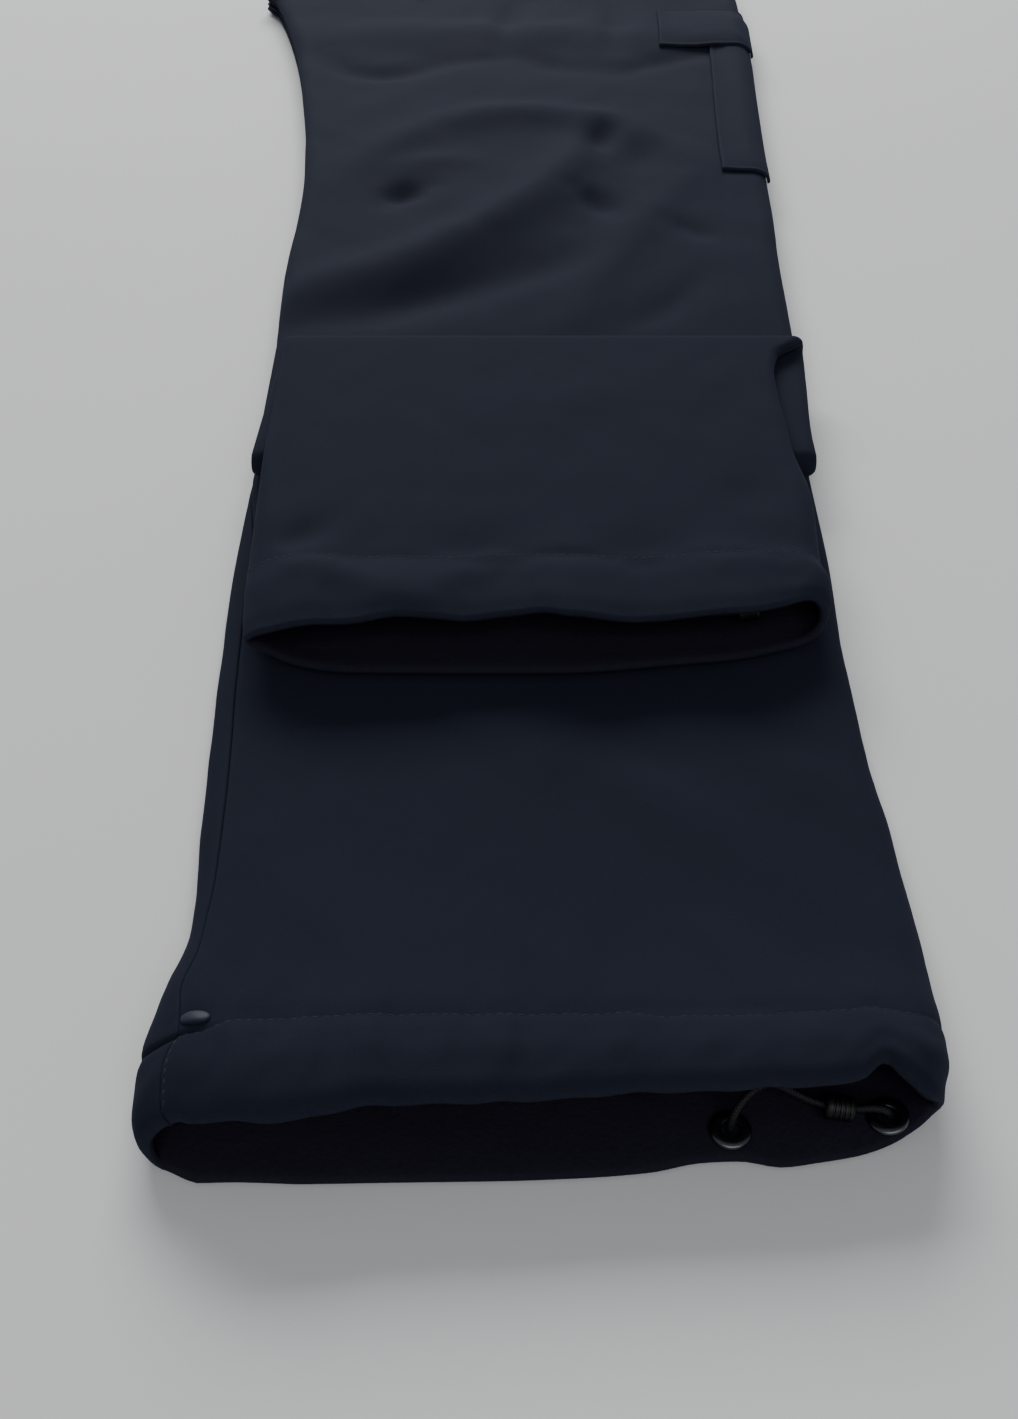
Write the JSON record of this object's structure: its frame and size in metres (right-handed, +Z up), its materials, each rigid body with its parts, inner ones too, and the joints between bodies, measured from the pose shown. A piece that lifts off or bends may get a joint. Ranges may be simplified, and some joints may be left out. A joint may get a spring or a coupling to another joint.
{
  "type": "pair of cargo pants",
  "caption": "Dark softshell cargo trousers folded leg over leg, laid flat with both drawcord hems at the front, the upper leg's end folded back in a Z.",
  "frame": {"origin": "centre of the bounding box in plan, on the surface that the garment lies on", "axes": "+Z up, +Y from the hems to the waistband, +X towards the outseams"},
  "size_m": [0.3193, 1.1106, 0.0323],
  "materials": {
    "softshell": "matte dark navy softshell with a fine woven face and a soft sheen at a low angle",
    "waistband": "the same softshell, doubled and stitched",
    "drawcord": "black braided elastic cord",
    "eyelet": "dark lacquered metal, softly polished",
    "cord_lock": "black moulded plastic with a slight gloss",
    "seam_tab": "smooth bluish heat-pressed tape"
  },
  "bodies": {
    "root": {"left_front": "softshell", "left_back": "softshell", "right_back": "softshell", "right_front": "softshell", "inner_layers": "softshell", "waistband": "waistband", "cargo_bag_right": "softshell", "cargo_flap_right": "softshell", "eyelet_left_1": "eyelet", "eyelet_left_2": "eyelet", "drawcord_left": "drawcord", "cord_lock_left": "cord_lock", "eyelet_right_1": "eyelet", "eyelet_right_2": "eyelet", "drawcord_right": "drawcord", "cord_lock_right": "cord_lock", "seam_tab_left": "seam_tab"}
  },
  "joints": []
}
